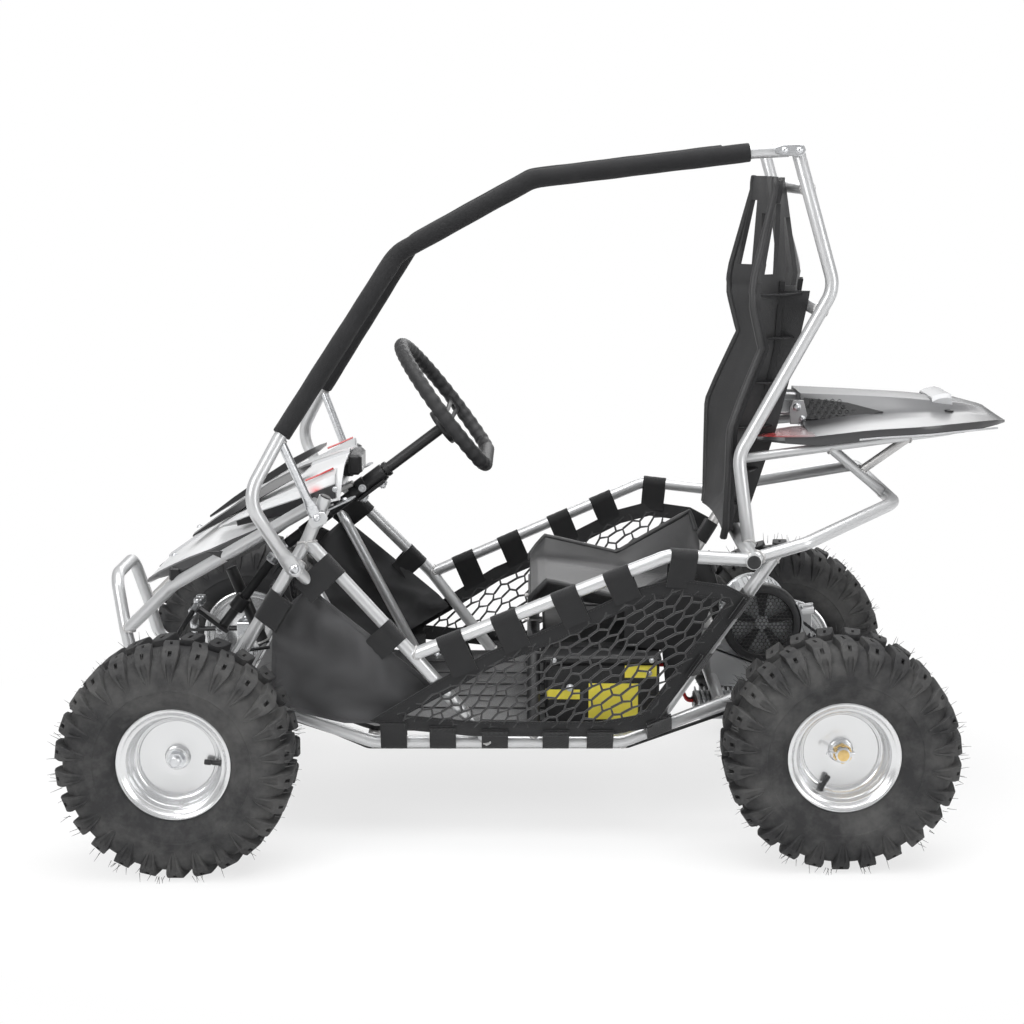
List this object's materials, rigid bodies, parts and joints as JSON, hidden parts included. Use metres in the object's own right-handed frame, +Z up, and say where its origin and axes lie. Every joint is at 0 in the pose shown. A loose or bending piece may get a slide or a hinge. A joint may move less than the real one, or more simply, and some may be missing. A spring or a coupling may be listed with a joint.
{
  "type": "off road go kart",
  "caption": "Single seat off road kart with tubular frame, roll cage, lugged tyres, steering linkage, chain drive, side nets and plastic fairings.",
  "frame": {"origin": "middle of the footprint on the ground, under the centre of the overall box", "axes": "+X towards the rear, +Y to the driver's right, +Z up; the kart drives towards -X"},
  "size_m": [1.5766, 1.013, 1.162],
  "materials": {
    "silver_paint": "satin metallic silver paint",
    "foam": "matte closed-cell foam",
    "fairing_gloss": "gloss moulded plastic",
    "black_plastic": "fine grained plastic",
    "cast_alloy": "cast and drawn aluminium",
    "black_steel": "black powder coat",
    "fabric": "woven nylon and coated fabric",
    "zinc": "bright zinc plate",
    "tyre_rubber": "matte moulded rubber",
    "lead_red": "soft cable jacket",
    "lead_black": "soft cable jacket"
  },
  "bodies": {
    "frame": {"lower_rail_left": "silver_paint", "lower_rail_right": "silver_paint", "floor_frame": "silver_paint", "side_frame_left": "silver_paint", "side_frame_right": "silver_paint", "front_post_left": "silver_paint", "front_post_right": "silver_paint", "main_cross_tube": "silver_paint", "seat_hoop": "silver_paint", "rear_frame": "silver_paint", "front_bumper": "silver_paint", "roll_frame": "silver_paint", "cage_bar_left": "silver_paint", "cage_bar_right": "silver_paint", "cage_sleeve_left": "foam", "cage_sleeve_right": "foam", "tail_rack": "silver_paint", "tail_fairing": "fairing_gloss", "nose_fairing": "fairing_gloss", "dash_display": "black_plastic", "dash_cross_tube": "silver_paint", "seat_back": "black_plastic", "seat_base": "black_plastic", "battery_box": "black_plastic", "motor": "cast_alloy", "motor_cowl": "black_plastic", "motor_mount": "silver_paint", "controller": "black_plastic", "chain": "black_steel", "brake_caliper": "black_steel", "steering_post": "black_steel", "side_net_left": "fabric", "side_net_right": "fabric", "side_panel_left": "fabric", "side_panel_right": "fabric", "power_lead_red": "lead_red", "power_lead_black": "lead_black", "brake_cable": "lead_black", "front_axle_beam": "silver_paint"},
    "steering": {"steering_wheel": "black_plastic", "steering_column": "black_steel"},
    "lower_steering": {"steering_lower_shaft": "black_steel"},
    "tie_left": {"tie_rod_left": "zinc"},
    "tie_right": {"tie_rod_right": "zinc"},
    "knuckle_body_left": {"knuckle_left": "black_steel"},
    "knuckle_body_right": {"knuckle_right": "black_steel"},
    "front_wheel_left": {"rim_front_left": "silver_paint", "tyre_front_left": "tyre_rubber"},
    "front_wheel_right": {"rim_front_right": "silver_paint", "tyre_front_right": "tyre_rubber"},
    "rear_drive": {"rear_axle": "zinc", "brake_disc": "zinc", "rear_sprocket": "black_steel", "rim_rear_left": "silver_paint", "tyre_rear_left": "tyre_rubber", "rim_rear_right": "silver_paint", "tyre_rear_right": "tyre_rubber"},
    "pinion_body": {"motor_pinion": "black_steel"},
    "brake_body": {"brake_pedal": "black_steel"},
    "throttle_body": {"throttle_pedal": "black_steel"}
  },
  "joints": [
    {"name": "steer", "type": "hinge", "parent": "frame", "child": "steering", "pos_m": [-0.48369, 0, 0.442], "axis": [0.7976, 0, 0.6032], "range_deg": [-26, 26]},
    {"name": "lower_shaft_turn", "type": "hinge", "parent": "frame", "child": "lower_steering", "pos_m": [-0.48369, 0, 0.442], "axis": [0.6009, 0, 0.7993], "range_deg": [-26, 26]},
    {"name": "tie_left_slide", "type": "slide", "parent": "frame", "child": "tie_left", "axis": [0, 1, 0], "range_m": [-0.029, 0.029]},
    {"name": "tie_right_slide", "type": "slide", "parent": "frame", "child": "tie_right", "axis": [0, 1, 0], "range_m": [-0.029, 0.029]},
    {"name": "knuckle_left_steer", "type": "hinge", "parent": "frame", "child": "knuckle_body_left", "pos_m": [-0.59819, -0.3355, 0.18989], "axis": [0, 0, 1], "range_deg": [-16, 16]},
    {"name": "knuckle_right_steer", "type": "hinge", "parent": "frame", "child": "knuckle_body_right", "pos_m": [-0.59819, 0.3355, 0.18989], "axis": [0, 0, 1], "range_deg": [-16, 16]},
    {"name": "front_wheel_left_spin", "type": "hinge", "parent": "knuckle_body_left", "child": "front_wheel_left", "pos_m": [-0.59819, -0.4305, 0.18989], "axis": [0, 1, 0], "continuous": true},
    {"name": "front_wheel_right_spin", "type": "hinge", "parent": "knuckle_body_right", "child": "front_wheel_right", "pos_m": [-0.59819, 0.4305, 0.18989], "axis": [0, 1, 0], "continuous": true},
    {"name": "rear_axle_spin", "type": "hinge", "parent": "frame", "child": "rear_drive", "pos_m": [0.47081, 0, 0.18989], "axis": [0, 1, 0], "continuous": true},
    {"name": "pinion_spin", "type": "hinge", "parent": "frame", "child": "pinion_body", "pos_m": [0.37431, 0.11, 0.33002], "axis": [0, 1, 0], "continuous": true},
    {"name": "brake_press", "type": "hinge", "parent": "frame", "child": "brake_body", "pos_m": [-0.46419, -0.112, 0.25713], "axis": [0, -1, 0], "range_deg": [0, 18], "stiffness_Nm_per_rad": 4, "springref_deg": -5.73},
    {"name": "throttle_press", "type": "hinge", "parent": "frame", "child": "throttle_body", "pos_m": [-0.46419, 0.112, 0.25713], "axis": [0, -1, 0], "range_deg": [0, 18], "stiffness_Nm_per_rad": 3, "springref_deg": -5.73}
  ],
  "couplings": [
    {"joint": "lower_shaft_turn", "follows": "steer", "ratio": 1},
    {"joint": "tie_left_slide", "follows": "steer", "m_per_rad": -0.061},
    {"joint": "tie_right_slide", "follows": "steer", "m_per_rad": -0.061},
    {"joint": "knuckle_left_steer", "follows": "steer", "ratio": 0.598},
    {"joint": "knuckle_right_steer", "follows": "steer", "ratio": 0.598},
    {"joint": "pinion_spin", "follows": "rear_axle_spin", "ratio": 3.4091}
  ]
}
